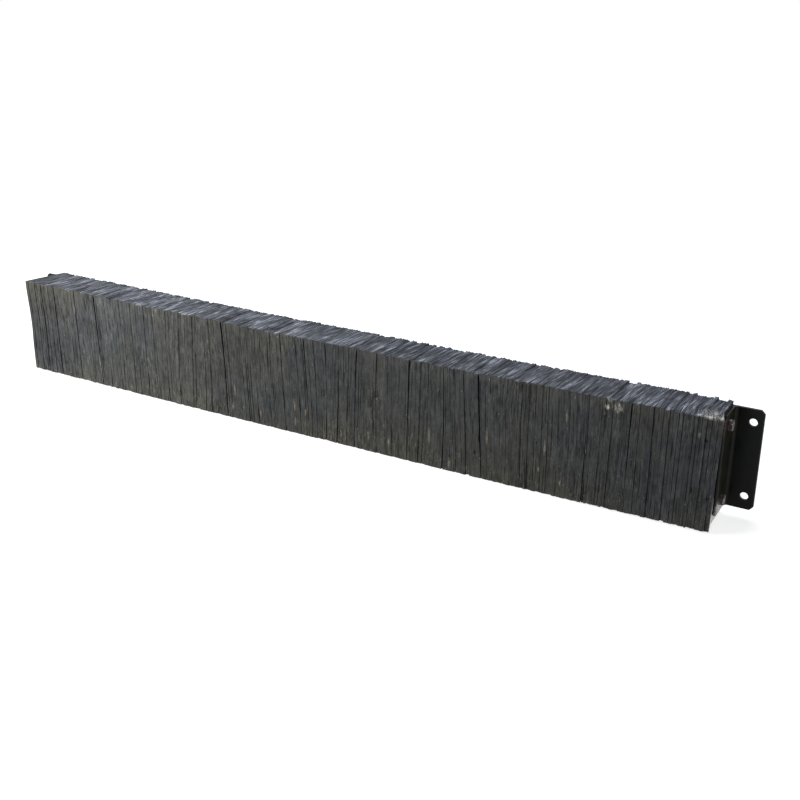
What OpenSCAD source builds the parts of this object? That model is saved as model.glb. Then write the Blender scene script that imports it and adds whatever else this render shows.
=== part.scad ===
// Laminated dock bumper: rubber pads threaded side by side on two tie rods, clamped between
// two steel angles. +X runs along the stack, +Y points at the wall, and z = 0 is where the lowest
// pads stand. The origin is at the middle of the length and of the depth.

/* [Rubber stack] */
// Length of the clamped stack, from one end angle to the other
stack_length = 1878; // [1500:2:2300]
// Height of a pad
pad_height = 254; // [250:1:320]
// Depth of the bumper, from its front face to the wall
pad_depth = 118; // [110:0.5:150]
// Groups of neighbouring pads
pad_groups = 50; // [40:1:54]
// Pads in each group
pads_per_group = 4; // [3:1:4]
// Slit between two neighbouring pads where they are pressed together
pad_slit = 0.25; // [0.1:0.05:0.5]
// Extra opening where two pads gape
gape_width = 3.3; // [0:0.1:4]
// Extra opening of most other pads
slack_width = 0.7; // [0:0.1:1.5]
// How much a pad's thickness departs from the average, as a share of it
thickness_spread = 0.3; // [0:0.05:0.35]
// Steepest lean of a pad, in degrees
steepest_lean = 3.5; // [0:0.5:4.5]
// Farthest that the middle of a pad bows sideways
deepest_bow = 3; // [0:0.5:5]
// Most that a pad's upper edge falls short
ragged_top = 3; // [0:0.5:6]
// Most that a pad's lower edge stands off
ragged_bottom = 2; // [0:0.5:4]
// Most that a pad's front edge stands back
ragged_front = 1.6; // [0:0.2:3]
// Most that a pad's rear edge falls short of the wall
ragged_rear = 6; // [0:0.5:12]
// Room between the deepest pad and the wall
wall_room = 0.8; // [0.2:0.1:3]
// How far the ends of the stack bow upwards
end_lift = 4.5; // [0:0.5:8]
// How far the free front edge of the left end pad springs outwards
left_flare = 32; // [0:0.5:36]
// How far the free front edge of the right end pad springs outwards
right_flare = 6.5; // [0:0.5:30]

/* [Tie rods] */
// Diameter of a tie rod
rod_diameter = 12.7; // [12:0.05:16]
// Height between the two tie rods
rod_spacing = 170.6; // [120:0.1:190]
// Distance from the wall to the rods' axes
rod_setback = 43.4; // [35:0.05:50]
// Room around a rod in the pads
rod_room = 0.3; // [0.1:0.05:0.8]
// Length of rod that stands out of the nut
rod_tip = 1.2; // [0.8:0.1:12]
// Chamfer at a rod's ends
rod_chamfer = 1.2; // [0.5:0.1:2]
// Width of a nut across its flats
nut_flats = 22.2; // [20:0.1:28]
// Thickness of a nut
nut_height = 8.3; // [6:0.1:16]
// Height of the chamfer that rounds a nut's corners
nut_chamfer = 1.3; // [0.5:0.1:2.5]
// Room between the rod and the nut's bore
thread_room = 0.05; // [0.02:0.01:0.2]

/* [End angles] */
// Length of an end angle
angle_length = 227.5; // [220:0.5:236]
// How far the angles and the rods sit above the middle of the end pads
angle_rise = 2; // [-4:0.5:4]
// Leg that lies against the stack
end_leg = 76.2; // [66:0.1:84]
// Leg that lies on the wall
wall_leg = 67.3; // [62:0.1:90]
// Thickness of both legs
angle_thickness = 6.35; // [5:0.05:9]
// Fillet between the legs
angle_fillet = 8; // [3:0.5:9]
// Rounding of the legs' toes
toe_radius = 4.5; // [1:0.5:4.5]
// Cut across each free corner of the legs
corner_clip = 8; // [4:0.5:12]
// Diameter of an anchor hole
anchor_hole = 17.46; // [14:0.01:24]
// Height between the two anchor holes of an angle
anchor_spacing = 168.8; // [120:0.1:185]
// Distance from the stack to the anchor holes' axes
anchor_setback = 45.7; // [40:0.1:47]
// Room around a rod in the end leg
leg_hole_room = 0.8; // [0.3:0.1:1.5]

/* [Hidden] */
$fn = 48;
pad_count = pad_groups * pads_per_group;
// Pads at each end that follow the flare, and how much of it opens the slits between them
flared_pads = 16;
flare_slits = 0.25;
// Levels at which a pad's sides are set out
side_steps = 6;
free_steps = 4;
// Share of the pads whose edge is flush
flush_share = 0.4;
// Lengths of stack over which the lean and the bow swing back and forth, and the long swing's share
long_swing = 596;
short_swing = 230;
long_share = 0.6;
bow_swing = 322;
// Share of the half length over which the stack lies flat
flat_share = 0.36;
// How late the lift, the flare, its bend and the fade set in, and how few pads are slack
lift_power = 1.1;
flare_power = 1.5;
bend_power = 1.1;
fade_power = 6;
slack_power = 3;

// Where two pads gape: the place along the stack, and the height at which they touch, as a
// share of the pad's height. Below 0 and above 1 they gape all the way. Flared pads touch at the toe.
gape_places = [
    [-897, 0.5], [-856, 0.5], [-723, -0.4], [-682, 0.4], [-477, 0.5], [-430, 0.3], [-361, 0.9],
    [-296, -0.3], [-228, 0.8], [-189, 0.5], [-148, 0.2], [-42, -0.3], [11, 0.5], [43, 1],
    [90, -0.2], [155, 0.3], [230, -0.3], [274, 0.6], [327, 1.2], [418, -0.3], [525, 0.4],
    [661, 0.9], [708, 0.5], [760, 0.2], [816, 0.5], [854, 0.5], [896, 0.5]
];

front_y = -pad_depth / 2;
wall_y = pad_depth / 2;
toe_y = wall_y - end_leg;
middle_z = pad_height / 2;
angle_z = middle_z + end_lift + angle_rise;
rod_y = wall_y - rod_setback;
stack_end = stack_length / 2;
leg_face = stack_end + angle_thickness;
rod_length = 2 * (leg_face + nut_height + rod_tip);

// Each pad's share of the stack, and the places of the planes between the pads
shares = [for (r = rands(-1, 1, pad_count, 11)) 1 + thickness_spread * r];
share = stack_length / (shares * [for (s = shares) 1]);
planes = [
    for (i = 0, x = -stack_end; i <= pad_count; x = x + share * (i < pad_count ? shares[i] : 0), i = i + 1) x
];

// How far the two pads at a plane gape, and the height at which they touch
function nearest_plane(x) =
    let (distances = [for (p = planes) abs(p - x)])
    search(min(distances), distances)[0];
gaping = [for (g = gape_places) nearest_plane(g[0])];
slack = rands(0, 1, pad_count + 1, 23);
touch = rands(0.2, 0.8, pad_count + 1, 31);
function gape_index(i) = search(i, gaping);
function gape(i) = gape_index(i) == [] ? slack_width * pow(slack[i], slack_power) : gape_width;
function touch_z(i) = pad_height * (gape_index(i) == [] ? touch[i] : gape_places[gape_index(i)[0]][1]);
function is_flared(i) = i < flared_pads || i >= pad_count - flared_pads;
function slit(i, z) = pad_slit
    + (i <= flared_pads || i >= pad_count - flared_pads ? 0 : gape(i) * abs(z - touch_z(i)) / pad_height);

// Edges of each pad
function short_of(r, most) = most * pow(max(0, r - flush_share) / (1 - flush_share), 2);
function lift(i) = end_lift
    * pow(max(0, abs(planes[i] / stack_end) - flat_share) / (1 - flat_share), lift_power);
top_draws = rands(0, 1, pad_count, 41);
bottom_draws = rands(0, 1, pad_count, 53);
front_draws = rands(0, 1, pad_count, 67);
rear_draws = rands(0, 1, pad_count, 79);
function top_z(i) = pad_height + lift(i) - short_of(top_draws[i], ragged_top);
function bottom_z(i) = lift(i) + short_of(bottom_draws[i], ragged_bottom);
function pad_front(i) = front_y + short_of(front_draws[i], ragged_front);
function pad_rear(i) = wall_y - wall_room - short_of(rear_draws[i], ragged_rear);

// Lean and bow fade out where the straight end pads begin
function fade_end(x) = x < 0 ? planes[flared_pads] : planes[pad_count - flared_pads];
function fade(x) = max(0, 1 - pow(x / fade_end(x), fade_power));
function lean(x) = fade(x) * tan(steepest_lean)
    * (long_share * sin(360 * x / long_swing) + (1 - long_share) * sin(360 * x / short_swing));
function bow(x) = fade(x) * deepest_bow * cos(360 * x / bow_swing);
function plane_x(i, z) = planes[i] + lean(planes[i]) * (z - middle_z)
    + bow(planes[i]) * cos(180 * (z - middle_z) / pad_height);

// End pads spring outwards in front of the end leg's toe, with slits that open between them
function spring(i) = i < flared_pads ? -left_flare * pow(1 - i / flared_pads, flare_power)
    : i > pad_count - flared_pads ? right_flare * pow(1 - (pad_count - i) / flared_pads, flare_power) : 0;
function free_share(y) = pow(max(0, (toe_y - y) / (toe_y - front_y)), bend_power);
function drawn(i, neighbour) = abs(spring(neighbour)) > abs(spring(i))
    ? (gape_index(i) == [] ? flare_slits : 1) * (spring(neighbour) - spring(i)) : 0;
function flare_x(i, neighbour, y) = planes[i] + (spring(i) + drawn(i, neighbour)) * free_share(y);

function group_name(g) = str("rubber_pads_", g < 10 ? "0" : "", g);

// Outline that runs up one side of a pad and back down the other
module pad_outline(left, right) {
    polygon(concat(left, [for (k = [len(right) - 1 : -1 : 0]) right[k]]));
}

// A pad from the middle of the stack: its leaning, bowed front view, pushed through its depth
module leaning_pad(i) {
    levels = [for (k = [0 : side_steps - 1]) bottom_z(i) + (top_z(i) - bottom_z(i)) * k / (side_steps - 1)];
    translate([0, pad_rear(i), 0])
        rotate([90, 0, 0])
            linear_extrude(pad_rear(i) - pad_front(i))
                pad_outline(
                    [for (z = levels) [plane_x(i, z) + slit(i, z) / 2, z]],
                    [for (z = levels) [plane_x(i + 1, z) - slit(i + 1, z) / 2, z]]
                );
}

// A pad near an end of the stack: its flared top view, pushed up through its height
module flared_pad(i) {
    left_slit = i == 0 ? 0 : pad_slit / 2;
    right_slit = i == pad_count - 1 ? 0 : pad_slit / 2;
    free_part = toe_y - pad_front(i);
    depths = concat([for (k = [0 : free_steps]) pad_front(i) + free_part * k / free_steps], [pad_rear(i)]);
    translate([0, 0, bottom_z(i)])
        linear_extrude(top_z(i) - bottom_z(i))
            pad_outline(
                [for (y = depths) [flare_x(i, i + 1, y) + left_slit, y]],
                [for (y = depths) [flare_x(i + 1, i, y) - right_slit, y]]
            );
}

module along_rods() {
    for (side = [-1, 1])
        translate([0, rod_y, angle_z + side * rod_spacing / 2])
            rotate([0, 90, 0])
                children();
}

module rubber_pads(g) {
    first = (g - 1) * pads_per_group;
    color([0.25, 0.25, 0.24])
        difference() {
            for (i = [first : first + pads_per_group - 1]) {
                if (is_flared(i)) flared_pad(i);
                else leaning_pad(i);
            }
            along_rods() cylinder(d = rod_diameter + 2 * rod_room, h = rod_length, center = true);
        }
}

module tie_rod(side) {
    half = rod_length / 2;
    radius = rod_diameter / 2;
    tip_radius = radius - rod_chamfer;
    color([0.3, 0.29, 0.28])
        translate([0, rod_y, angle_z + side * rod_spacing / 2])
            rotate([0, 90, 0])
                rotate_extrude()
                    polygon([
                        [0, -half], [tip_radius, -half], [radius, rod_chamfer - half],
                        [radius, half - rod_chamfer], [tip_radius, half], [0, half]
                    ]);
}

module upper_tie_rod() {
    tie_rod(1);
}

module lower_tie_rod() {
    tie_rod(-1);
}

// Corner of a leg's toe that is rounded away
module toe_cut() {
    difference() {
        translate([0, -1]) square(toe_radius + 1);
        translate([0, toe_radius]) circle(toe_radius);
    }
}

// Section of the right angle, with its heel at the origin, the stack at -X and the wall at +Y
module angle_section() {
    difference() {
        union() {
            translate([0, -end_leg]) square([angle_thickness, end_leg]);
            translate([0, -angle_thickness]) square([wall_leg, angle_thickness]);
            translate([angle_thickness, -angle_thickness - angle_fillet])
                difference() {
                    square(angle_fillet);
                    translate([angle_fillet, 0]) circle(angle_fillet);
                }
        }
        translate([angle_thickness - toe_radius, -end_leg]) toe_cut();
        translate([wall_leg - toe_radius, -angle_thickness]) toe_cut();
    }
}

// The right angle, standing on its lower end with its heel at the origin
module end_angle() {
    through = 4 * angle_thickness;
    color([0.13, 0.13, 0.125])
        difference() {
            linear_extrude(angle_length) angle_section();
            for (z = [0, angle_length]) {
                translate([wall_leg, 0, z]) rotate([90, 0, 0])
                    cylinder(r = corner_clip, h = through, center = true, $fn = 4);
                translate([0, -end_leg, z]) rotate([0, 90, 0])
                    cylinder(r = corner_clip, h = through, center = true, $fn = 4);
            }
            for (side = [-1, 1]) {
                translate([anchor_setback, 0, (angle_length + side * anchor_spacing) / 2]) rotate([90, 0, 0])
                    cylinder(d = anchor_hole, h = through, center = true);
                translate([0, -rod_setback, (angle_length + side * rod_spacing) / 2]) rotate([0, 90, 0])
                    cylinder(d = rod_diameter + 2 * leg_hole_room, h = through, center = true);
            }
        }
}

module right_end_angle() {
    translate([stack_end, wall_y, angle_z - angle_length / 2]) end_angle();
}

module left_end_angle() {
    mirror([1, 0, 0]) right_end_angle();
}

module nut() {
    corner_radius = nut_flats / 2 / cos(30);
    face_radius = nut_flats / 2;
    difference() {
        intersection() {
            cylinder(r = corner_radius, h = nut_height, $fn = 6);
            rotate_extrude()
                polygon([
                    [0, 0], [face_radius, 0], [corner_radius, nut_chamfer],
                    [corner_radius, nut_height - nut_chamfer], [face_radius, nut_height], [0, nut_height]
                ]);
        }
        cylinder(d = rod_diameter + 2 * thread_room, h = 3 * nut_height, center = true);
    }
}

module right_rod_nuts() {
    color([0.36, 0.33, 0.3])
        along_rods() translate([0, 0, leg_face]) nut();
}

module left_rod_nuts() {
    mirror([1, 0, 0]) right_rod_nuts();
}

for (g = [1 : pad_groups]) {
    rubber_pads(g);
}
upper_tie_rod();
lower_tie_rod();
left_end_angle();
right_end_angle();
left_rod_nuts();
right_rod_nuts();
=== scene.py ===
import math

import bmesh
import bpy
import numpy as np
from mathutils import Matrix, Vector


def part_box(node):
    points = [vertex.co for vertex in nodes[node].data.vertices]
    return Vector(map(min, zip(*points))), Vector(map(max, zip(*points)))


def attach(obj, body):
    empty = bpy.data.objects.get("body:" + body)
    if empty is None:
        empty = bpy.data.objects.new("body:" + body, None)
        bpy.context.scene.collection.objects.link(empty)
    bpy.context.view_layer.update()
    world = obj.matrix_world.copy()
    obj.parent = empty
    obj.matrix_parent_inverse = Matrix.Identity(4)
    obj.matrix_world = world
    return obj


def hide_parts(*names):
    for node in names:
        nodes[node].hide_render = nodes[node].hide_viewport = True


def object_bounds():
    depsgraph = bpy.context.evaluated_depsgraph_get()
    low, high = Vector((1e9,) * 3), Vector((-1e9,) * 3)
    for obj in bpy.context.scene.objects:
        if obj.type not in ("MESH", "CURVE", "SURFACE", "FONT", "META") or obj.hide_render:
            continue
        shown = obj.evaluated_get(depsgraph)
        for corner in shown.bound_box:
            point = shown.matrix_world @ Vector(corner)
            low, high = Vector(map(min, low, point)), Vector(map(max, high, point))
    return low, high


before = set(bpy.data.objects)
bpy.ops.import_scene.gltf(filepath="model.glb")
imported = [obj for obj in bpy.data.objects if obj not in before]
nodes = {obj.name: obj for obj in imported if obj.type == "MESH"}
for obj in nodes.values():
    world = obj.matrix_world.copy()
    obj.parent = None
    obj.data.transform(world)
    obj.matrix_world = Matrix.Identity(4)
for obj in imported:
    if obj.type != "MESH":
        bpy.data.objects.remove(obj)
cadLow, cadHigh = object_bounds()
bpy.ops.object.select_all(action="DESELECT")
print("frame loaded:", len(nodes), "nodes")

scene = bpy.context.scene
scene.view_settings.view_transform = "Standard"

# Camera at the photograph's place
cameraSetup = {
    "place": (1.4192, -2.1617, 1.1567),
    "turnDegrees": (67.4344, 0.0, 29.8075),
    "lens": 51.284,
    "sensor": 36.0,
}
bpy.ops.object.camera_add(
    location=cameraSetup["place"], rotation=[math.radians(a) for a in cameraSetup["turnDegrees"]]
)
camera = bpy.context.object
camera.data.lens = cameraSetup["lens"]
camera.data.sensor_width = cameraSetup["sensor"]
scene.camera = camera


# Small helpers for the materials
def startMaterial(name):
    finish = bpy.data.materials.new(name)
    finish.use_nodes = True
    tree = finish.node_tree
    return finish, tree, tree.nodes["Principled BSDF"]


def feed(tree, socket, value):
    # A socket takes a link from another node or a plain value
    if isinstance(value, bpy.types.NodeSocket):
        tree.links.new(value, socket)
    else:
        socket.default_value = value


def maths(tree, operation, first, second=0.0, third=0.0):
    step = tree.nodes.new("ShaderNodeMath")
    step.operation = operation
    for socket, value in zip(step.inputs, (first, second, third)):
        feed(tree, socket, value)
    return step.outputs[0]


def times(tree, *factors):
    product = factors[0]
    for factor in factors[1:]:
        product = maths(tree, "MULTIPLY", product, factor)
    return product


def strongest(tree, *masks):
    most = masks[0]
    for mask in masks[1:]:
        most = maths(tree, "MAXIMUM", most, mask)
    return most


def remap(tree, value, low, high, newLow, newHigh):
    step = tree.nodes.new("ShaderNodeMapRange")
    step.clamp = True
    for socket, given in zip(step.inputs, (value, low, high, newLow, newHigh)):
        feed(tree, socket, given)
    return step.outputs[0]


def combine(tree, x, y, z):
    step = tree.nodes.new("ShaderNodeCombineXYZ")
    for socket, value in zip(step.inputs, (x, y, z)):
        feed(tree, socket, value)
    return step.outputs[0]


def axesOf(tree, vector):
    split = tree.nodes.new("ShaderNodeSeparateXYZ")
    tree.links.new(vector, split.inputs[0])
    return split.outputs[0], split.outputs[1], split.outputs[2]


def vectorMaths(tree, operation, first, second=(0.0, 0.0, 0.0)):
    step = tree.nodes.new("ShaderNodeVectorMath")
    step.operation = operation
    feed(tree, step.inputs[0], first)
    feed(tree, step.inputs[1], second)
    return step.outputs["Value" if operation == "LENGTH" else "Vector"]


def mixColour(tree, amount, first, second, blend="MIX"):
    step = tree.nodes.new("ShaderNodeMix")
    step.data_type = "RGBA"
    step.blend_type = blend
    feed(tree, step.inputs[0], amount)
    for socket, value in ((step.inputs[6], first), (step.inputs[7], second)):
        feed(tree, socket, value if isinstance(value, bpy.types.NodeSocket) else (*value, 1.0))
    return step.outputs[2]


def shaded(tree, colour, shade):
    # A colour times a grey value
    return mixColour(tree, 1.0, colour, combine(tree, shade, shade, shade), "MULTIPLY")


def noiseOn(tree, vector, scale, detail, roughness):
    step = tree.nodes.new("ShaderNodeTexNoise")
    feed(tree, step.inputs["Vector"], vector)
    step.inputs["Scale"].default_value = scale
    step.inputs["Detail"].default_value = detail
    step.inputs["Roughness"].default_value = roughness
    return step.outputs[0]


def objectPlace(tree):
    return tree.nodes.new("ShaderNodeTexCoord").outputs["Object"]


def patchMask(tree, place, centre, half, core=0.35):
    # 1 in the core of an egg-shaped patch, falling to 0 at its half sizes
    away = vectorMaths(tree, "DIVIDE", vectorMaths(tree, "SUBTRACT", place, centre), half)
    return remap(tree, vectorMaths(tree, "LENGTH", away), core, 1.0, 1.0, 0.0)


def patchMasks(tree, place, patches):
    return strongest(tree, *[patchMask(tree, place, centre, half) for centre, half in patches])


def bumpOn(tree, shader, height, strength, distance):
    bump = tree.nodes.new("ShaderNodeBump")
    bump.inputs["Strength"].default_value = strength
    bump.inputs["Distance"].default_value = distance
    tree.links.new(height, bump.inputs["Height"])
    tree.links.new(bump.outputs[0], shader.inputs["Normal"])


def seenRays(tree):
    # 1 for rays from the camera, from gloss and through glass, 0 for light that falls on the object
    path = tree.nodes.new("ShaderNodeLightPath")
    rays = ("Is Camera Ray", "Is Glossy Ray", "Is Transmission Ray")
    return strongest(tree, *[path.outputs[ray] for ray in rays])


def mixShaders(tree, amount, first, second):
    step = tree.nodes.new("ShaderNodeMixShader")
    for socket, value in zip(step.inputs, (amount, first, second)):
        tree.links.new(value, socket)
    return step.outputs[0]


# Tyre rubber: cut plies with fine grain along the cut, dusty on top, smooth on their broad sides, which carry
# a very dark painted shade.
# A patch, a scuff or a tuft is given by its centre and its half sizes along the three axes.
# Dim tops are darker areas of the top. A scuff is frayed cord in fine strands, a tuft a bright bunch of it.
# A dash is a frayed tan streak on the front: its place along the stack, its height and its half length.
# A pit is a hole or slit in the front, painted near black as the shade inside it: its place along the stack,
# its height, its half width and half height.
frontY = cadLow.y
rubberLook = {
    "coolTone": (0.0555, 0.0590, 0.0615),
    "warmTone": (0.0640, 0.0635, 0.0560),
    "coolPull": -0.22,
    "bandPull": 0.4,
    "rimPull": 0.16,
    "midHeight": 0.129,
    # painted shade: the very dark bluish tone of the broad sides stands for the shade in the gaps between
    # pads and on sides away from the light
    "sideShadeTone": (0.015, 0.017, 0.021),
    # painted reflection: a pale speckled tone low on the right end pad's broad side stands for the bright
    # floor mirrored in it at a grazing angle
    "sideReflection": (0.54, 0.54, 0.49),
    "endSideFrom": 0.938,
    "reflectionSway": 0.02,
    # painted light: a lighter patch over the left part of the stack, a little less on its top
    "paintedLightPatch": ((-0.60, -0.02, 0.15), (0.34, 0.40, 0.40)),
    "coolPatch": ((-0.93, frontY, 0.120), (0.200, 0.080, 0.170)),
    "pitShadow": (0.004, 0.004, 0.004),
    "pits": (
        (0.920, 0.206, 0.0050, 0.0042), (0.919, 0.068, 0.0026, 0.0024), (0.934, 0.080, 0.0030, 0.0060),
        (0.853, 0.171, 0.0022, 0.0340), (0.901, 0.092, 0.0028, 0.0110), (0.408, 0.063, 0.0030, 0.0070),
        (0.418, 0.100, 0.0030, 0.0160), (0.557, 0.120, 0.0028, 0.0030),
    ),
    "darkTop": (0.0240, 0.0250, 0.0275),
    "paleTop": (0.160, 0.1645, 0.183),
    "hairs": (0.50, 0.51, 0.55),
    "topSkew": -115.0,
    "rollSway": -0.014,
    "dimTops": (
        ((-0.945, 0.000, 0.255), (0.085, 0.110, 0.080)),
        ((0.120, 0.000, 0.255), (0.200, 0.300, 0.080)),
    ),
    "tan": (0.26, 0.225, 0.165),
    "cord": (0.60, 0.56, 0.48),
    "scuffs": (
        ((0.711, frontY, 0.238), (0.008, 0.012, 0.007)),
        ((0.714, frontY, 0.256), (0.010, 0.012, 0.010)),
        ((0.733, frontY, 0.239), (0.015, 0.012, 0.014)),
        ((0.934, -0.040, 0.258), (0.046, 0.032, 0.007)),
        ((-0.413, frontY, 0.257), (0.022, 0.006, 0.005)),
    ),
    "tufts": (
        ((0.711, frontY, 0.236), (0.0050, 0.0120, 0.0060)),
        ((0.944, -0.046, 0.258), (0.0045, 0.0140, 0.0080)),
        ((0.922, -0.056, 0.258), (0.0120, 0.0060, 0.0060)),
        ((0.899, -0.050, 0.258), (0.0060, 0.0070, 0.0060)),
    ),
    "dashes": (
        (-0.720, 0.062, 0.030), (-0.275, 0.031, 0.014), (-0.266, 0.078, 0.018), (-0.187, 0.030, 0.012),
        (-0.083, 0.074, 0.020), (-0.082, 0.032, 0.014), (-0.051, 0.062, 0.012), (0.051, 0.027, 0.012),
        (0.128, 0.042, 0.016), (0.184, 0.036, 0.011), (0.291, 0.078, 0.026), (0.344, 0.019, 0.018),
        (0.387, 0.016, 0.011), (0.437, 0.105, 0.030), (0.576, 0.113, 0.022), (0.564, 0.057, 0.007),
        (0.623, 0.197, 0.018), (0.615, 0.037, 0.009), (0.906, 0.216, 0.008), (-0.795, 0.203, 0.014),
        (-0.586, 0.010, 0.006), (-0.614, 0.017, 0.006), (-0.765, 0.006, 0.006), (-0.508, 0.249, 0.006),
    ),
    "dashHalfWidth": 0.0034,
    "markDepth": 0.012,
    "roughness": 0.75,
    "gloss": 0.08,
    "coatRoughness": 0.2,
    "fineRelief": 0.5,
    "bump": (0.7, 0.0008),
    "streaks": {  # strides across the plies for each mm, strides along them for each m, detail, roughness
        "grain": (0.20, 40.0, 4.0, 0.62),
        "fineGrain": (0.75, 130.0, 2.0, 0.6),
        "bands": (0.05, 6.0, 2.0, 0.5),
        "fibre": (0.50, 120.0, 4.0, 0.8),
        "lint": (0.5, 75.0, 1.0, 0.5),
        "lowLint": (0.42, 95.0, 2.0, 0.6),
        "topGrain": (0.10, 14.0, 4.0, 0.66),
        "topHairs": (0.42, 12.0, 2.0, 0.6),
        "topBands": (0.026, 10.0, 2.0, 0.55),
    },
    "mottle": {  # strides for each m, detail, roughness
        "blotch": (6.0, 3.0, 0.5),
        "clouds": (40.0, 3.0, 0.6),
        "coarseAreas": (13.0, 2.0, 0.5),
        "lintAreas": (9.0, 2.0, 0.5),
        "reflectionSpecks": (150.0, 4.0, 0.65),
    },
    "spread": {  # low and high of what drives an effect, then the effect at that low and that high
        "rimWear": (0.070, 0.128, 0.0, 1.0),
        "warmth": (0.5, 0.95, 0.0, 1.0),
        "coarseAreas": (0.36, 0.64, 1.1, 3.1),
        "paintedGrooveShade": (0.2, 1.0, 1.0, 0.7),
        "padShade": (0.0, 1.0, 0.95, 1.05),
        "cloudShade": (0.35, 0.65, 0.86, 1.14),
        "paintedLightLift": (0.0, 1.0, 0.97, 1.19),
        "fineShade": (0.3, 0.7, 0.78, 1.22),
        "bandShade": (0.3, 0.7, 0.90, 1.10),
        "rimShade": (0.0, 1.0, 0.96, 1.13),
        "coolShade": (0.0, 1.0, 1.0, 0.86),
        "paleGrain": (0.33, 0.69, 0.0, 0.80),
        "paleHairs": (0.34, 0.66, -0.38, 0.52),
        "brightGrain": (0.50, 0.62, 0.0, 0.8),
        "brightHairs": (0.53, 0.61, 0.0, 1.0),
        "dimTops": (0.0, 1.0, 1.0, 0.80),
        "topBands": (0.3, 0.7, 0.60, 1.36),
        "topPaintedLight": (0.0, 1.0, 1.0, 0.96),
        "topCool": (0.0, 0.4, 1.0, 0.94),
        "upper": (0.45, 0.85, 0.0, 1.0),
        "rolledOver": (-0.0075, -0.0035, 0.35, 0.0),
        "broadSide": (0.75, 0.92, 0.0, 1.0),
        "topFray": (0.0015, 0.0065, 0.2, 1.0),
        "dashFibre": (0.42, 0.58, 0.1, 1.0),
        "scuffFibre": (0.48, 0.60, 0.0, 1.0),
        "lint": (0.77, 0.80, 0.0, 0.4),
        "lowLint": (0.63, 0.70, 0.0, 0.75),
        "lowLintHeight": (0.015, 0.110, 1.0, 0.0),
        "lintAreas": (0.42, 0.62, 0.0, 1.0),
        "reflectionHeight": (0.062, 0.080, 1.0, 0.0),
        "reflectionSpecks": (0.36, 0.58, 0.35, 1.0),
    },
}
tyreRubber, rubberTree, rubberShader = startMaterial("tyreRubber")
rubberPlace = objectPlace(rubberTree)
rubberX, rubberY, rubberZ = axesOf(rubberTree, rubberPlace)


def padMark(name):
    # A value that each point of a pad carries
    mark = rubberTree.nodes.new("ShaderNodeAttribute")
    mark.attribute_name = name
    return mark.outputs["Fac"]


def streaks(name, skew=0.0):
    # Noise drawn out along the cut
    across, along, detail, roughness = rubberLook["streaks"][name]
    skewed = maths(rubberTree, "MULTIPLY_ADD", rubberY, skew, cross)
    strides = combine(
        rubberTree, times(rubberTree, skewed, across),
        times(rubberTree, rubberY, along), times(rubberTree, rubberZ, along),
    )
    return noiseOn(rubberTree, strides, 1.0, detail, roughness)


def rubberMottle(name):
    return noiseOn(rubberTree, rubberPlace, *rubberLook["mottle"][name])


def rubberSpread(name, value):
    return remap(rubberTree, value, *rubberLook["spread"][name])


def rubberPatches(patches):
    return patchMasks(rubberTree, rubberPlace, patches)


cross = padMark("cross")
padTone = padMark("padTone")
groove = padMark("groove")
fromTop = padMark("fromTop")
grain = streaks("grain")
fineGrain = streaks("fineGrain")
bands = streaks("bands")
fibre = streaks("fibre")
clouds = rubberMottle("clouds")
paintedLightMask = rubberPatches([rubberLook["paintedLightPatch"]])
cool = rubberPatches([rubberLook["coolPatch"]])
fromMiddle = maths(rubberTree, "ABSOLUTE", maths(rubberTree, "SUBTRACT", rubberZ, rubberLook["midHeight"]))
rimWear = rubberSpread("rimWear", fromMiddle)

# The front: cool and warm rubber, shaded by its grain
warmth = maths(rubberTree, "MULTIPLY_ADD", cool, rubberLook["coolPull"], rubberMottle("blotch"))
warmth = maths(rubberTree, "MULTIPLY_ADD", rimWear, rubberLook["rimPull"], warmth)
warmth = maths(rubberTree, "MULTIPLY_ADD", bands, rubberLook["bandPull"], warmth)
hue = mixColour(rubberTree, rubberSpread("warmth", warmth), rubberLook["coolTone"], rubberLook["warmTone"])
# painted shade: rims that lie deep in the groove between two pads are darkened, once here and once more in
# the front's shade; the tone that comes with it also holds the pad tone, the clouds and a painted light patch
paintedGrooveShade = rubberSpread("paintedGrooveShade", groove)
wearAndPaintedLight = times(
    rubberTree, paintedGrooveShade, rubberSpread("padShade", padTone),
    rubberSpread("cloudShade", clouds), rubberSpread("paintedLightLift", paintedLightMask),
)
coarseness = rubberSpread("coarseAreas", rubberMottle("coarseAreas"))
grainShade = maths(rubberTree, "MULTIPLY_ADD", maths(rubberTree, "SUBTRACT", grain, 0.5), coarseness, 1.0)
frontShade = times(
    rubberTree, grainShade, rubberSpread("fineShade", fineGrain), rubberSpread("bandShade", bands),
    rubberSpread("rimShade", rimWear), paintedGrooveShade, rubberSpread("coolShade", cool), wearAndPaintedLight,
)
frontColour = shaded(rubberTree, hue, frontShade)

# The top: pale dusty streaks and bright hairs over dark rubber
topGrain = streaks("topGrain", rubberLook["topSkew"])
topHairs = streaks("topHairs", rubberLook["topSkew"])
topBands = streaks("topBands", rubberLook["topSkew"])
paleness = maths(rubberTree, "ADD", rubberSpread("paleGrain", topGrain), rubberSpread("paleHairs", topHairs))
topColour = mixColour(rubberTree, paleness, rubberLook["darkTop"], rubberLook["paleTop"])
brightness = times(rubberTree, rubberSpread("brightGrain", topGrain), rubberSpread("brightHairs", topHairs))
topColour = mixColour(rubberTree, brightness, topColour, rubberLook["hairs"])
dimmed = rubberPatches(rubberLook["dimTops"])
topShade = times(
    rubberTree, wearAndPaintedLight, rubberSpread("dimTops", dimmed), rubberSpread("topBands", topBands),
    rubberSpread("topPaintedLight", paintedLightMask), rubberSpread("topCool", cool),
)
topColour = shaded(rubberTree, topColour, topShade)

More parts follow.
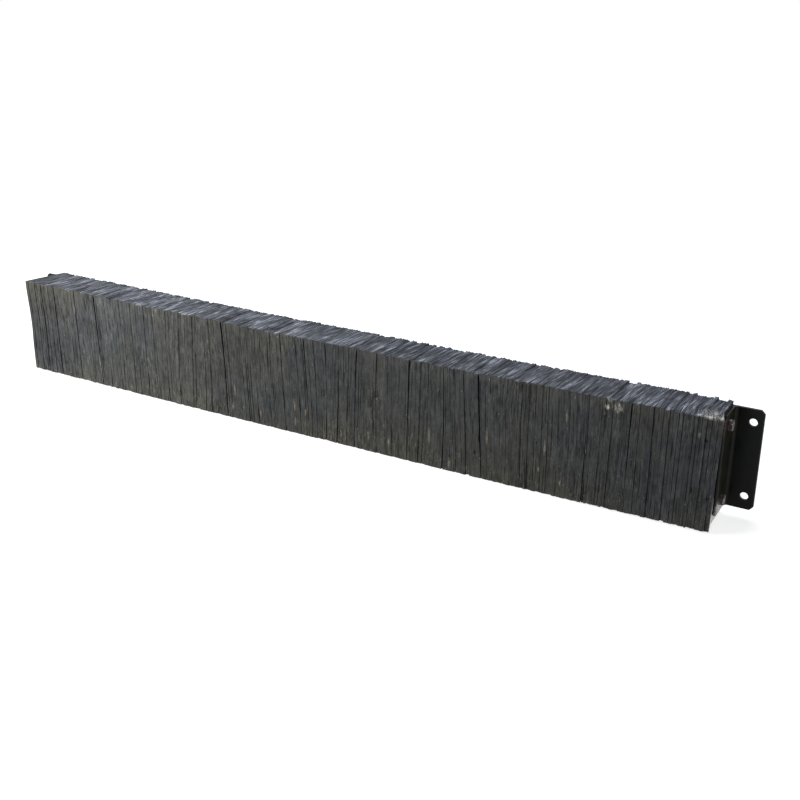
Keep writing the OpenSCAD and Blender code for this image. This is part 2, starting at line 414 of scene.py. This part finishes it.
# Which face of a pad a point is on: its top and the rim beside it, a broad side, or else the cut
normal = rubberTree.nodes.new("ShaderNodeNewGeometry").outputs["Normal"]
facing = axesOf(rubberTree, normal)
swayedTop = maths(rubberTree, "MULTIPLY_ADD", clouds, rubberLook["rollSway"], fromTop)
topMask = strongest(rubberTree, rubberSpread("upper", facing[2]), rubberSpread("rolledOver", swayedTop))
endSide = maths(rubberTree, "GREATER_THAN", rubberX, rubberLook["endSideFrom"])
# sideMask: where the broad sides' painted shade goes; near the top edge it gives way to the cut's colour, but
# not on the right end
sideMask = times(
    rubberTree, rubberSpread("broadSide", maths(rubberTree, "ABSOLUTE", facing[0])),
    strongest(rubberTree, rubberSpread("topFray", fromTop), endSide),
)

# Marks on the front and the top, one over the other: dashes, pits painted as their shade, low lint, then
# frayed cord
cutColour = mixColour(rubberTree, topMask, frontColour, topColour)
dashes = [
    ((along, frontY, height), (rubberLook["dashHalfWidth"], rubberLook["markDepth"], half))
    for along, height, half in rubberLook["dashes"]
]
dashed = times(rubberTree, rubberPatches(dashes), rubberSpread("dashFibre", fibre))
cutColour = mixColour(rubberTree, dashed, cutColour, rubberLook["tan"])
# painted shade: the pits are not cut into the pads, only painted near black
pits = [
    ((along, frontY, height), (halfWidth, rubberLook["markDepth"], halfHeight))
    for along, height, halfWidth, halfHeight in rubberLook["pits"]
]
cutColour = mixColour(rubberTree, rubberPatches(pits), cutColour, rubberLook["pitShadow"])
lowLint = times(
    rubberTree, rubberSpread("lowLint", streaks("lowLint")), rubberSpread("lowLintHeight", rubberZ),
    rubberSpread("lintAreas", rubberMottle("lintAreas")),
)
cutColour = mixColour(rubberTree, lowLint, cutColour, rubberLook["tan"])
scuffed = times(rubberTree, rubberPatches(rubberLook["scuffs"]), rubberSpread("scuffFibre", fibre))
tufted = rubberPatches(rubberLook["tufts"])
frayed = strongest(rubberTree, scuffed, tufted, rubberSpread("lint", streaks("lint")))
cutColour = mixColour(rubberTree, frayed, cutColour, rubberLook["cord"])

# The broad sides: smooth, with a very dark painted shade for the gaps between pads and the sides turned from
# the light, and a pale painted reflection of the floor low on the right end
# painted reflection of the floor: pale, low on the right end's broad side, broken into specks, with a glossy
# coat over it
swayedHeight = maths(rubberTree, "MULTIPLY_ADD", clouds, rubberLook["reflectionSway"], rubberZ)
sideReflected = times(
    rubberTree, endSide, rubberSpread("reflectionHeight", swayedHeight),
    rubberSpread("reflectionSpecks", rubberMottle("reflectionSpecks")),
)
sideColour = mixColour(rubberTree, sideReflected, rubberLook["sideShadeTone"], rubberLook["sideReflection"])
feed(rubberTree, rubberShader.inputs["Base Color"], mixColour(rubberTree, sideMask, cutColour, sideColour))
rubberShader.inputs["Roughness"].default_value = rubberLook["roughness"]
rubberShader.inputs["Specular IOR Level"].default_value = rubberLook["gloss"]
feed(rubberTree, rubberShader.inputs["Coat Weight"], times(rubberTree, sideMask, sideReflected))
rubberShader.inputs["Coat Roughness"].default_value = rubberLook["coatRoughness"]
relief = maths(rubberTree, "MULTIPLY_ADD", fineGrain, rubberLook["fineRelief"], grain)
bumpOn(rubberTree, rubberShader, relief, *rubberLook["bump"])
print("tyre rubber ready")

# Black paint of the angles: browner towards the heel, worn at the toe, with some rust, and a pale painted
# reflection of the floor at the foot of the right end leg
paintLook = {
    "black": (0.0040, 0.0049, 0.0040),
    "brown": (0.0088, 0.0086, 0.0058),
    "heelReach": 0.030,
    "heelHaze": 0.25,
    "edgeBrown": (0.060, 0.034, 0.020),
    "edgeFrom": 0.0016,
    "footReflection": (0.46, 0.44, 0.41),
    "footReflectionPatch": ((0.9460, 0.004, 0.020), (0.0060, 0.060, 0.040)),
    "rust": (0.120, 0.056, 0.026),
    "rustPatches": (
        ((0.944, -0.0172, 0.225), (0.010, 0.006, 0.028)),
        ((-0.944, -0.0172, 0.040), (0.010, 0.006, 0.026)),
    ),
    "rustRoughness": 0.4,
    "gloss": 0.1,
    "bump": (0.15, 0.0002),
    "mottle": {  # strides for each m, detail, roughness
        "film": (26.0, 4.0, 0.6),
        "speckle": (900.0, 2.0, 0.6),
        "edge": (60.0, 3.0, 0.6),
        "footReflection": (170.0, 4.0, 0.65),
        "rust": (260.0, 3.0, 0.6),
    },
    "spread": {  # low and high of what drives an effect, then the effect at that low and that high
        "brown": (0.45, 0.75, 0.0, 1.0),
        "edge": (0.4, 0.6, 0.0, 0.9),
        "footReflection": (0.36, 0.60, 0.15, 1.0),
        "rust": (0.4, 0.55, 0.0, 1.0),
        "roughness": (0.3, 0.7, 0.26, 0.40),
    },
}
anglePaint, paintTree, paintShader = startMaterial("anglePaint")
paintPlace = objectPlace(paintTree)
angleLow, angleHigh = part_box("right_end_angle")


def paintMottle(name):
    return noiseOn(paintTree, paintPlace, *paintLook["mottle"][name])


def paintSpread(name, value):
    return remap(paintTree, value, *paintLook["spread"][name])


film = paintMottle("film")
outward = maths(paintTree, "ABSOLUTE", axesOf(paintTree, paintPlace)[0])
heelHaze = remap(
    paintTree, outward, angleLow.x, angleLow.x + paintLook["heelReach"], paintLook["heelHaze"], 0.0
)
browned = paintSpread("brown", maths(paintTree, "ADD", film, heelHaze))
paintColour = mixColour(paintTree, browned, paintLook["black"], paintLook["brown"])
atEdge = remap(paintTree, outward, angleHigh.x - paintLook["edgeFrom"], angleHigh.x, 0.0, 1.0)
worn = times(paintTree, atEdge, paintSpread("edge", paintMottle("edge")))
paintColour = mixColour(paintTree, worn, paintColour, paintLook["edgeBrown"])
# painted reflection: a pale speckled tone at the foot of the right end leg stands for the bright floor
# mirrored in it
footReflectionPatch = patchMask(paintTree, paintPlace, *paintLook["footReflectionPatch"])
footReflected = times(paintTree, footReflectionPatch, paintSpread("footReflection", paintMottle("footReflection")))
paintColour = mixColour(paintTree, footReflected, paintColour, paintLook["footReflection"])
rustPatches = patchMasks(paintTree, paintPlace, paintLook["rustPatches"])
rusted = times(paintTree, rustPatches, paintSpread("rust", paintMottle("rust")))
paintColour = mixColour(paintTree, rusted, paintColour, paintLook["rust"])
feed(paintTree, paintShader.inputs["Base Color"], paintColour)
filmRoughness = paintSpread("roughness", film)
feed(paintTree, paintShader.inputs["Roughness"],
     maths(paintTree, "MULTIPLY_ADD", rusted, paintLook["rustRoughness"], filmRoughness))
paintShader.inputs["Specular IOR Level"].default_value = paintLook["gloss"]
bumpOn(paintTree, paintShader, paintMottle("speckle"), *paintLook["bump"])

# Bare steel of the nuts and rods, partly rusted
steelLook = {
    "finishes": {
        "nutSteel": {"grey": (0.27, 0.27, 0.28), "rust": (0.042, 0.022, 0.014), "rustFrom": 0.40},
        "rodSteel": {"grey": (0.13, 0.128, 0.125), "rust": (0.060, 0.030, 0.016), "rustFrom": 0.46},
    },
    "bloom": (130.0, 4.0, 0.65),
    "rustRise": 0.12,
    "rustMost": 0.9,
    "metallic": (0.85, 0.05),  # bare, then rusted
    "roughness": (0.5, 0.85),  # bare, then rusted
    "bump": (0.3, 0.0003),
}
steels = {}
for name, look in steelLook["finishes"].items():
    steel, steelTree, steelShader = startMaterial(name)
    bloom = noiseOn(steelTree, objectPlace(steelTree), *steelLook["bloom"])
    rustFull = look["rustFrom"] + steelLook["rustRise"]
    amount = remap(steelTree, bloom, look["rustFrom"], rustFull, 0.0, steelLook["rustMost"])
    steelColour = mixColour(steelTree, amount, look["grey"], look["rust"])
    metallic = remap(steelTree, amount, 0.0, 1.0, *steelLook["metallic"])
    roughness = remap(steelTree, amount, 0.0, 1.0, *steelLook["roughness"])
    feed(steelTree, steelShader.inputs["Base Color"], steelColour)
    feed(steelTree, steelShader.inputs["Metallic"], metallic)
    feed(steelTree, steelShader.inputs["Roughness"], roughness)
    bumpOn(steelTree, steelShader, bloom, *steelLook["bump"])
    steels[name] = steel
print("paint and steel ready")

# Pads: one pad is modelled, then copied and shaped to each solid's own sides and edges
padForm = {
    "thickness": 0.010,
    "low": -0.059,
    "high": 0.059,
    "height": 0.254,
    "frontSteps": 40,
    "freeSteps": 4,
    "clampedCuts": (0.2, 0.6, 0.8),
    "plyCuts": (0.06, 0.20, 0.35, 0.50, 0.65, 0.80, 0.94),
    "boreRoom": 0.0003,
    "boreSides": 12,
    "boreBand": 0.012,  # not stretched, on each side of a bore
    "drillLength": 0.03,
    "sameSpot": 0.00001,
    "smoothDegrees": 38,
    "seed": 4000,
    "topRun": 0.26,  # where the top starts on the line around the rim
    "rearRun": 0.64,  # where the rear ends on that line
    "runRange": (-0.2, 0.9),
    "wave": 0.0006,
    "wavePitch": 0.045,
    "nick": 0.0002,
    "nickPitch": 0.012,
    "fibrePitch": 0.008,
    "plyDepth": 0.0006,
    "plyPitch": 0.035,
    "plyMiddle": 0.6,
    "plyMost": 1.4,
    "seamDepth": 0.0010,
    "seamDraw": (-0.6, 1.0),  # a draw below zero leaves no seam
    "edgeRound": 0.0016,
    "edgeLeast": 0.2,
    "topEdgeShare": 0.3,
    "tightEdges": ((0.0003, 0.0011), (0.40, 1.0)),
    "proud": 0.0008,
    "grooveFull": 0.0022,
    "lipShare": 0.14,
    "topLipShare": 0.485,
    "lipFrom": 0.0008,
    "topLipFrom": 0.0002,
    "tightLips": ((0.0005, 0.0011), (0.42, 0.0)),
    "topWear": ((0.65, 0.80, 0.94, 1.0), (0.0, 0.30, 0.75, 0.95)),
    "openSeams": (4, 8),
    "seamOpening": 0.0009,
    "upperSpring": 0.94,
    "dent": {"depth": 0.0045, "height": 0.145, "reach": 0.100},
    "rearCorners": {197: -0.004, 198: -0.006, 199: 0.002},
    "rearTeeth": 0.0022,
}
axisY, axisZ = 1, 2
rodBoxes = [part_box(name) for name in ("lower_tie_rod", "upper_tie_rod")]
rodY = (rodBoxes[0][0].y + rodBoxes[0][1].y) / 2
rodHeights = [(low.z + high.z) / 2 for low, high in rodBoxes]
rodRadius = (rodBoxes[0][1].z - rodBoxes[0][0].z) / 2
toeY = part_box("right_end_angle")[0].y
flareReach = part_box("left_end_angle")[1].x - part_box("rubber_pads_01")[0].x


def soloSelect(piece):
    bpy.ops.object.select_all(action="DESELECT")
    piece.select_set(True)
    bpy.context.view_layer.objects.active = piece


def cutModel(place, normal):
    bpy.ops.mesh.select_all(action="SELECT")
    bpy.ops.mesh.bisect(plane_co=place, plane_no=normal)


bpy.ops.mesh.primitive_cube_add(size=1.0)
modelPad = bpy.context.object
bpy.ops.object.mode_set(mode="EDIT")
bpy.ops.mesh.select_all(action="SELECT")
bpy.ops.transform.resize(
    value=(padForm["thickness"], padForm["high"] - padForm["low"], padForm["height"]),
    center_override=(0, 0, 0),
)
bpy.ops.transform.translate(
    value=(padForm["thickness"] / 2, (padForm["low"] + padForm["high"]) / 2, padForm["height"] / 2)
)
for step in range(1, padForm["frontSteps"]):
    cutModel((0, 0, padForm["height"] * step / padForm["frontSteps"]), (0, 0, 1))
for cut in padForm["plyCuts"]:
    cutModel((padForm["thickness"] * cut, 0, 0), (1, 0, 0))
for step in range(1, padForm["freeSteps"] + 1):
    cutModel((0, padForm["low"] + (toeY - padForm["low"]) * step / padForm["freeSteps"], 0), (0, 1, 0))
for share in padForm["clampedCuts"]:
    cutModel((0, toeY + (padForm["high"] - toeY) * share, 0), (0, 1, 0))
bpy.ops.object.mode_set(mode="OBJECT")
for height in rodHeights:
    bpy.ops.mesh.primitive_cylinder_add(
        vertices=padForm["boreSides"], radius=rodRadius + padForm["boreRoom"], depth=padForm["drillLength"],
        location=(padForm["thickness"] / 2, rodY, height), rotation=(0, math.pi / 2, 0),
    )
    drill = bpy.context.object
    soloSelect(modelPad)
    bore = modelPad.modifiers.new("bore", "BOOLEAN")
    bore.object = drill
    bore.operation = "DIFFERENCE"
    bore.solver = "EXACT"
    bpy.ops.object.modifier_apply(modifier="bore")
    bpy.data.objects.remove(drill)
print("model pad:", len(modelPad.data.vertices), "points,", len(modelPad.data.polygons), "faces")

modelPoints = np.zeros(len(modelPad.data.vertices) * 3)
modelPad.data.vertices.foreach_get("co", modelPoints)
modelPoints = modelPoints.reshape(-1, 3)
modelAcross = modelPoints[:, 0] / padForm["thickness"]
onFront = modelPoints[:, 1] < padForm["low"] + padForm["sameSpot"]
onRear = modelPoints[:, 1] > padForm["high"] - padForm["sameSpot"]
onTop = modelPoints[:, 2] > padForm["height"] - padForm["sameSpot"]
onBottom = modelPoints[:, 2] < padForm["sameSpot"]
onRim = onFront | onRear | onTop | onBottom
plyPlaces = np.array([0.0, *padForm["plyCuts"], 1.0])
plyOf = np.abs(modelAcross[:, None] - plyPlaces[None, :]).argmin(axis=1)


def readPads(node):
    # The solids of one node, as the sides and edges that a shaped pad follows
    shell = bmesh.new()
    shell.from_mesh(node.data)
    bmesh.ops.remove_doubles(shell, verts=shell.verts, dist=padForm["sameSpot"])
    waiting = set(shell.verts)
    found = []
    while waiting:
        reach = [waiting.pop()]
        points = []
        while reach:
            point = reach.pop()
            points.append(point.co[:])
            for edge in point.link_edges:
                other = edge.other_vert(point)
                if other in waiting:
                    waiting.remove(other)
                    reach.append(other)
        found.append(readSides(np.array(points)))
    shell.free()
    return sorted(found, key=lambda pad: pad["leftSide"][:, 1].mean())


def readSides(points):
    # Sides are read up the front, or along the bottom where a pad has only its corners on the front
    # A straight line parts the two sides, and on nine strongly bent left pads it misses some left points
    # Points level with each other go in order of x, so that every run reads them alike
    low, high = points.min(axis=0), points.max(axis=0)
    along = axisZ
    outline = points[points[:, axisY] < low[axisY] + padForm["sameSpot"]]
    if len(np.unique(np.round(outline[:, axisZ], 5))) < 3:
        along = axisY
        outline = points[points[:, axisZ] < low[axisZ] + padForm["sameSpot"]]
    outline = outline[np.lexsort((outline[:, 0], outline[:, along]))]
    start, end = np.sort(outline[:2, 0]), np.sort(outline[-2:, 0])
    share = (outline[:, along] - outline[0, along]) / (outline[-1, along] - outline[0, along])
    isLeft = outline[:, 0] < start.mean() + (end.mean() - start.mean()) * share
    return {
        "low": low, "high": high, "along": along,
        "leftSide": outline[isLeft][:, [along, 0]], "rightSide": outline[~isLeft][:, [along, 0]],
    }


def ragged(random, run, pitch):
    # Uneven line of random heights from -1 to 1, one for each pitch of run
    marks = np.arange(*padForm["runRange"], pitch)
    return np.interp(run, marks, random.uniform(-1.0, 1.0, len(marks)))


def sideAt(side, spot):
    return np.interp(spot, side[:, 0], side[:, 1])


def sideGap(pad, neighbour, spot):
    # Room between a pad and the next one along the stack, where both follow the same line
    if pad is None or neighbour is None or pad["along"] != neighbour["along"]:
        return np.zeros(len(spot))
    return sideAt(neighbour["leftSide"], spot) - sideAt(pad["rightSide"], spot)


def fitToSolid(pad):
    # Depth and height of the model pad's points, stretched to the solid's edges but not beside the bores
    band = padForm["boreBand"]
    keptY = [rodY - band, rodY + band]
    keptZ = [height + side for height in rodHeights for side in (-band, band)]
    modelY = [padForm["low"], *keptY, padForm["high"]]
    modelZ = [0.0, *keptZ, padForm["height"]]
    y = np.interp(modelPoints[:, 1], modelY, [pad["low"][1], *keptY, pad["high"][1]])
    z = np.interp(modelPoints[:, 2], modelZ, [pad["low"][2], *keptZ, pad["high"][2]])
    return y, z


def plyDepths(random):
    # How deep each line of points lies behind the cut: shallow plies, one seam and two rounded edges
    depths = padForm["plyDepth"] * random.uniform(0.0, 1.0, len(plyPlaces)) ** 2
    seam = random.randint(2, len(plyPlaces) - 2)
    depths[seam] += padForm["seamDepth"] * max(0.0, random.uniform(*padForm["seamDraw"]))
    depths[[0, -1]] = padForm["edgeRound"] * (padForm["edgeLeast"] + random.uniform(0.0, 1.0, 2) ** 3)
    return depths


def rimDepths(random, run, leftGap, rightGap):
    # How deep each point of the rim lies behind the outermost line of the cut
    depths = plyDepths(random)
    edgeGaps = {0: leftGap, len(depths) - 1: rightGap}
    inward = padForm["wave"] * (0.5 + 0.5 * ragged(random, run, padForm["wavePitch"]))
    inward += padForm["nick"] * ragged(random, run, padForm["nickPitch"])
    for ply, depth in enumerate(depths):
        here = plyOf == ply
        kept = 1.0
        if ply in edgeGaps:
            tight = np.interp(edgeGaps[ply][here], *padForm["tightEdges"])
            kept = np.where(onTop[here], padForm["topEdgeShare"], tight)
        swell = padForm["plyMiddle"] + ragged(random, run[here], padForm["plyPitch"])
        inward[here] += kept * depth * np.clip(swell, 0.0, padForm["plyMost"])
        inward[here] += padForm["nick"] * ragged(random, run[here], padForm["fibrePitch"])
    return np.where(onRim, np.maximum(inward, 0.0), 0.0)


def lipInto(pad, gap):
    # Frayed lip that narrows a wide joint and nearly shuts a narrow one
    if pad["along"] != axisZ:
        return np.zeros(len(gap))
    gap = np.maximum(gap, 0.0)
    share = np.where(onTop, padForm["topLipShare"], padForm["lipShare"])
    start = np.where(onTop, padForm["topLipFrom"], padForm["lipFrom"])
    return np.maximum(share * (gap - start), gap * np.interp(gap, *padForm["tightLips"]))


def shapePad(pads, number):
    random = np.random.RandomState(padForm["seed"] + number)
    pad = pads[number]
    before = pads[number - 1] if number > 0 else None
    after = pads[number + 1] if number + 1 < len(pads) else None
    y, z = fitToSolid(pad)
    rearOrBottom = np.where(onRear, padForm["rearRun"] - z, y)
    run = np.where(onFront, z, np.where(onTop, padForm["topRun"] + y, rearOrBottom))
    spot = z if pad["along"] == axisZ else y
    inward = rimDepths(random, run, sideGap(before, pad, spot), sideGap(pad, after, spot))
    outward = np.where(onRim, padForm["proud"], 0.0) - inward
    y = y - outward * onFront + np.minimum(outward, 0.0) * onRear
    z = np.maximum(z - outward * onBottom + outward * onTop, 0.0)

    # Sides with their lips, two of the joints opened further
    spot = z if pad["along"] == axisZ else y
    left = sideAt(pad["leftSide"], spot)
    right = sideAt(pad["rightSide"], spot)
    leftLip = lipInto(pad, sideGap(before, pad, spot))
    rightLip = lipInto(pad, sideGap(pad, after, spot))
    if number in padForm["openSeams"]:
        rightLip = rightLip - padForm["seamOpening"]
    if number - 1 in padForm["openSeams"]:
        leftLip = leftLip - padForm["seamOpening"]
    x = (left - leftLip * onRim) * (1 - modelAcross) + (right + rightLip * onRim) * modelAcross

    # End pads: the right ones spring out further at the top, the left ones are dented
    free = np.clip((toeY - y) / (toeY - padForm["low"]), 0.0, 1.0) * (pad["along"] == axisY)
    spring = pad["rightSide"][0, 1] - pad["rightSide"][-1, 1]
    x = x + padForm["upperSpring"] * max(spring, 0.0) * free * z / padForm["height"]
    dent = padForm["dent"]
    hollow = np.clip(1 - ((z - dent["height"]) / dent["reach"]) ** 2, 0.0, 1.0) ** 2
    x = x + dent["depth"] * max(-spring, 0.0) / flareReach * free * hollow

    # Top: lifted or cut rear corners, and worn edges beside a lower neighbour
    z = z + padForm["rearCorners"].get(number, 0.0) * onTop * np.clip(y / padForm["high"], 0.0, 1.0)
    for neighbour, across in ((before, 1 - modelAcross), (after, modelAcross)):
        step = 0.0 if neighbour is None else max(pad["high"][2] - neighbour["high"][2], 0.0)
        z = z - step * np.interp(across, *padForm["topWear"]) * (onTop & ~onRear)
    marks = {
        "cross": (left.mean() + modelAcross * (right - left).mean()) * 1000,  # in mm
        "padTone": np.full(len(x), random.uniform(0.0, 1.0)),
        "groove": np.clip(inward / padForm["grooveFull"], 0.0, 1.0),
        "fromTop": pad["high"][2] - z,
    }
    teeth = padForm["rearTeeth"] * random.uniform(0.0, 1.0, len(plyPlaces))[plyOf] * (onTop & onRear)
    return np.stack([x, y - teeth, z - teeth], axis=1), marks


def copyPad(pads, number):
    mesh = modelPad.data.copy()
    points, marks = shapePad(pads, number)
    mesh.vertices.foreach_set("co", points.ravel())
    for name, values in marks.items():
        mesh.attributes.new(name, "FLOAT", "POINT").data.foreach_set("value", values)
    mesh.update()
    piece = bpy.data.objects.new("pad%03d" % number, mesh)
    scene.collection.objects.link(piece)
    return piece


padNodes = sorted(name for name in nodes if name.startswith("rubber_pads_"))
padsOf = [readPads(nodes[nodeName]) for nodeName in padNodes]
allPads = [pad for pads in padsOf for pad in pads]
padNumber = 0
for nodeName, pads in zip(padNodes, padsOf):
    plies = [copyPad(allPads, padNumber + count) for count in range(len(pads))]
    padNumber += len(pads)
    bpy.ops.object.select_all(action="DESELECT")
    for ply in plies:
        ply.select_set(True)
    bpy.context.view_layer.objects.active = plies[0]
    bpy.ops.object.join()
    stack = bpy.context.object
    stack.name = "cut_plies_" + nodeName[-2:]
    stack.data.materials.clear()
    stack.data.materials.append(tyreRubber)
    bpy.ops.object.shade_smooth_by_angle(angle=math.radians(padForm["smoothDegrees"]))
    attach(stack, "root")
    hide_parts(nodeName)
bpy.data.objects.remove(modelPad)
print("pads shaped:", padNumber)

# Steel pieces: merged copies of the solids with eased edges
steelForm = {
    "angleEase": 0.0007,
    "nutEase": 0.0005,
    "rodEase": 0.0003,
    "easeSteps": 2,
    "easeFromDegrees": 40,
    "sameSpot": 0.00001,
    "flatDegrees": 0.5,
    "smoothDegrees": 35,
    "flatWeight": 100,
}


def easedCopy(nodeName, pieceName, finish, ease):
    piece = bpy.data.objects.new(pieceName, nodes[nodeName].data.copy())
    scene.collection.objects.link(piece)
    soloSelect(piece)
    bpy.ops.object.mode_set(mode="EDIT")
    bpy.ops.mesh.select_all(action="SELECT")
    bpy.ops.mesh.remove_doubles(threshold=steelForm["sameSpot"])
    bpy.ops.mesh.dissolve_limited(angle_limit=math.radians(steelForm["flatDegrees"]))
    bpy.ops.object.mode_set(mode="OBJECT")
    bevel = piece.modifiers.new("ease", "BEVEL")
    bevel.width = ease
    bevel.segments = steelForm["easeSteps"]
    bevel.limit_method = "ANGLE"
    bevel.angle_limit = math.radians(steelForm["easeFromDegrees"])
    bpy.ops.object.modifier_apply(modifier="ease")
    piece.data.materials.clear()
    piece.data.materials.append(finish)
    bpy.ops.object.shade_smooth_by_angle(angle=math.radians(steelForm["smoothDegrees"]))
    flats = piece.modifiers.new("flats", "WEIGHTED_NORMAL")  # wide flats stay flat beside small roundings
    flats.keep_sharp = True
    flats.weight = steelForm["flatWeight"]
    bpy.ops.object.modifier_apply(modifier="flats")
    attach(piece, "root")
    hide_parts(nodeName)


for side in ("left", "right"):
    easedCopy(side + "_end_angle", side + "_painted_angle", anglePaint, steelForm["angleEase"])
    easedCopy(side + "_rod_nuts", side + "_steel_nuts", steels["nutSteel"], steelForm["nutEase"])
for level in ("upper", "lower"):
    easedCopy(level + "_tie_rod", level + "_steel_rod", steels["rodSteel"], steelForm["rodEase"])
print("steel pieces ready")

# Floor, soft light and a white surround
white = (1.0, 1.0, 1.0, 1.0)
floorSetup = {
    "size": 16.0,
    "drop": 0.0002,
    "tone": (0.50, 0.50, 0.50),
    "roughness": 0.9,
    "gloss": 0.0,
    "glow": 0.78,
    "fade": (1.2, 2.2),  # distances over which the floor turns to white
}
bpy.ops.object.select_all(action="DESELECT")
bpy.ops.mesh.primitive_plane_add(size=floorSetup["size"], location=(0.0, 0.0, -floorSetup["drop"]))
floor = bpy.context.object
floor.name = "floor"
floorFinish, floorTree, floorShader = startMaterial("paleFloor")
floorShader.inputs["Base Color"].default_value = (*floorSetup["tone"], 1.0)
floorShader.inputs["Roughness"].default_value = floorSetup["roughness"]
floorShader.inputs["Specular IOR Level"].default_value = floorSetup["gloss"]
floorGlow = floorTree.nodes.new("ShaderNodeEmission")
floorGlow.inputs["Color"].default_value = white
farOff = vectorMaths(floorTree, "LENGTH", objectPlace(floorTree))
glowStrength = remap(floorTree, farOff, *floorSetup["fade"], floorSetup["glow"], 1.0)
feed(floorTree, floorGlow.inputs["Strength"], glowStrength)
floorSum = floorTree.nodes.new("ShaderNodeAddShader")
floorTree.links.new(floorShader.outputs[0], floorSum.inputs[0])
floorTree.links.new(floorGlow.outputs[0], floorSum.inputs[1])
floorMix = mixShaders(floorTree, seenRays(floorTree), floorShader.outputs[0], floorSum.outputs[0])
floorTree.links.new(floorMix, floorTree.nodes["Material Output"].inputs["Surface"])
floor.data.materials.append(floorFinish)

worldSetup = {"fill": (0.80, 0.86, 1.0), "fillStrength": 0.09, "whiteStrength": 1.0}
world = bpy.data.worlds.new("surround")
scene.world = world
world.use_nodes = True
worldTree = world.node_tree
fillLight = worldTree.nodes["Background"]
fillLight.inputs["Color"].default_value = (*worldSetup["fill"], 1.0)
fillLight.inputs["Strength"].default_value = worldSetup["fillStrength"]
whiteLight = worldTree.nodes.new("ShaderNodeBackground")
whiteLight.inputs["Color"].default_value = white
whiteLight.inputs["Strength"].default_value = worldSetup["whiteStrength"]
worldMix = mixShaders(worldTree, seenRays(worldTree), fillLight.outputs[0], whiteLight.outputs[0])
worldTree.links.new(worldMix, worldTree.nodes["World Output"].inputs["Surface"])

lightSetup = {
    "leftSoftbox": {"place": (-2.0, -1.8, 1.4), "aim": (-0.3, 0.0, 0.1), "size": 1.5, "watts": 118.0,
                    "tint": (1.0, 0.995, 0.97)},
    "skyPanel": {"place": (0.0, 1.3, 2.6), "aim": (0.0, 0.1, 0.2), "size": 2.4, "watts": 75.0,
                 "tint": (0.78, 0.86, 1.0)},
    "rightCard": {"place": (2.9, -0.14, 0.38), "aim": (0.94, -0.02, 0.06), "size": 0.4, "watts": 14.0,
                  "tint": (1.0, 0.99, 0.97)},
}
for name, lamp in lightSetup.items():
    aim = Vector(lamp["aim"]) - Vector(lamp["place"])
    turn = aim.to_track_quat("-Z", "Y").to_euler()
    bpy.ops.object.light_add(type="AREA", location=lamp["place"], rotation=turn)
    light = bpy.context.object
    light.name = name
    light.data.size = lamp["size"]
    light.data.energy = lamp["watts"]
    light.data.color = lamp["tint"]
print("floor and light ready")
